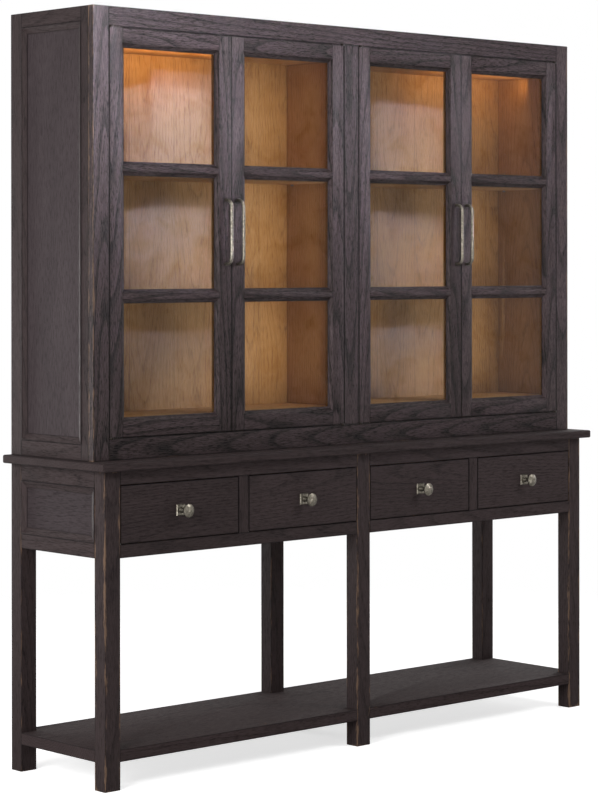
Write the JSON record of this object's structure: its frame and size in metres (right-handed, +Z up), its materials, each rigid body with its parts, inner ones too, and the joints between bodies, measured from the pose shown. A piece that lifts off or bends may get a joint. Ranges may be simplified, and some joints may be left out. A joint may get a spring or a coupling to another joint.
{
  "type": "dresser with hutch",
  "caption": "Tall dark oak dresser: an open base with drawers and a low shelf on square legs, and a glazed hutch with hinged doors, lined in natural oak.",
  "frame": {"origin": "centre of the whole piece's footprint, on the floor", "axes": "+Z up, +X to the right across the width as seen from the front, the front faces -Y"},
  "size_m": [2.036, 0.488, 2.18],
  "materials": {
    "dark_oak": "dark stained open-grained oak, satin",
    "natural_oak": "oiled natural oak",
    "glass": "clear float glass",
    "aged_nickel": "antiqued nickel, worn bright on the edges",
    "zinc_steel": "zinc plated steel"
  },
  "bodies": {
    "cabinet": {"tabletop": "dark_oak", "hutch_fixing_screws": "zinc_steel", "hutch_bottom": "dark_oak", "front_legs": "dark_oak", "back_legs": "dark_oak", "lower_shelf": "dark_oak", "base_front_frame": "dark_oak", "base_back_boards": "dark_oak", "base_side_rails": "dark_oak", "hutch_side_frames": "dark_oak", "side_panels": "dark_oak", "side_panel_mouldings": "dark_oak", "drawer_bearers": "natural_oak", "drawer_slide_channels": "zinc_steel", "hinge_frame_leaves": "aged_nickel", "hutch_face_frame": "dark_oak", "hutch_top": "dark_oak", "hutch_rear_panel": "dark_oak", "catch_magnets": "zinc_steel", "inner_lining": "natural_oak", "shelf_pins": "zinc_steel", "inner_back": "natural_oak", "display_shelves": "natural_oak", "lining_battens": "natural_oak"},
    "door_1": {"door_1_frame": "dark_oak", "door_1_glass": "glass", "door_1_glazing_beads": "natural_oak", "door_1_handle": "aged_nickel", "door_1_fittings": "aged_nickel"},
    "door_2": {"door_2_frame": "dark_oak", "door_2_glass": "glass", "door_2_glazing_beads": "natural_oak", "door_2_handle": "aged_nickel", "door_2_fittings": "aged_nickel"},
    "door_3": {"door_3_frame": "dark_oak", "door_3_glass": "glass", "door_3_glazing_beads": "natural_oak", "door_3_handle": "aged_nickel", "door_3_fittings": "aged_nickel"},
    "door_4": {"door_4_frame": "dark_oak", "door_4_glass": "glass", "door_4_glazing_beads": "natural_oak", "door_4_handle": "aged_nickel", "door_4_fittings": "aged_nickel"},
    "drawer_1": {"drawer_1_front": "dark_oak", "drawer_1_box": "natural_oak", "drawer_1_slide_rails": "zinc_steel", "drawer_1_knob": "aged_nickel"},
    "drawer_2": {"drawer_2_front": "dark_oak", "drawer_2_box": "natural_oak", "drawer_2_slide_rails": "zinc_steel", "drawer_2_knob": "aged_nickel"},
    "drawer_3": {"drawer_3_front": "dark_oak", "drawer_3_box": "natural_oak", "drawer_3_slide_rails": "zinc_steel", "drawer_3_knob": "aged_nickel"},
    "drawer_4": {"drawer_4_front": "dark_oak", "drawer_4_box": "natural_oak", "drawer_4_slide_rails": "zinc_steel", "drawer_4_knob": "aged_nickel"}
  },
  "joints": [
    {"name": "door_1_hinge", "type": "hinge", "parent": "cabinet", "child": "door_1", "pos_m": [-0.928, -0.15, 1.548], "axis": [0, 0, -1], "range_deg": [0, 110]},
    {"name": "door_2_hinge", "type": "hinge", "parent": "cabinet", "child": "door_2", "pos_m": [-0.038, -0.15, 1.548], "axis": [0, 0, 1], "range_deg": [0, 90]},
    {"name": "door_3_hinge", "type": "hinge", "parent": "cabinet", "child": "door_3", "pos_m": [0.038, -0.15, 1.548], "axis": [0, 0, -1], "range_deg": [0, 90]},
    {"name": "door_4_hinge", "type": "hinge", "parent": "cabinet", "child": "door_4", "pos_m": [0.928, -0.15, 1.548], "axis": [0, 0, 1], "range_deg": [0, 110]},
    {"name": "drawer_1_slide", "type": "slide", "parent": "cabinet", "child": "drawer_1", "axis": [0, -1, 0], "range_m": [0, 0.26]},
    {"name": "drawer_2_slide", "type": "slide", "parent": "cabinet", "child": "drawer_2", "axis": [0, -1, 0], "range_m": [0, 0.26]},
    {"name": "drawer_3_slide", "type": "slide", "parent": "cabinet", "child": "drawer_3", "axis": [0, -1, 0], "range_m": [0, 0.26]},
    {"name": "drawer_4_slide", "type": "slide", "parent": "cabinet", "child": "drawer_4", "axis": [0, -1, 0], "range_m": [0, 0.26]}
  ]
}
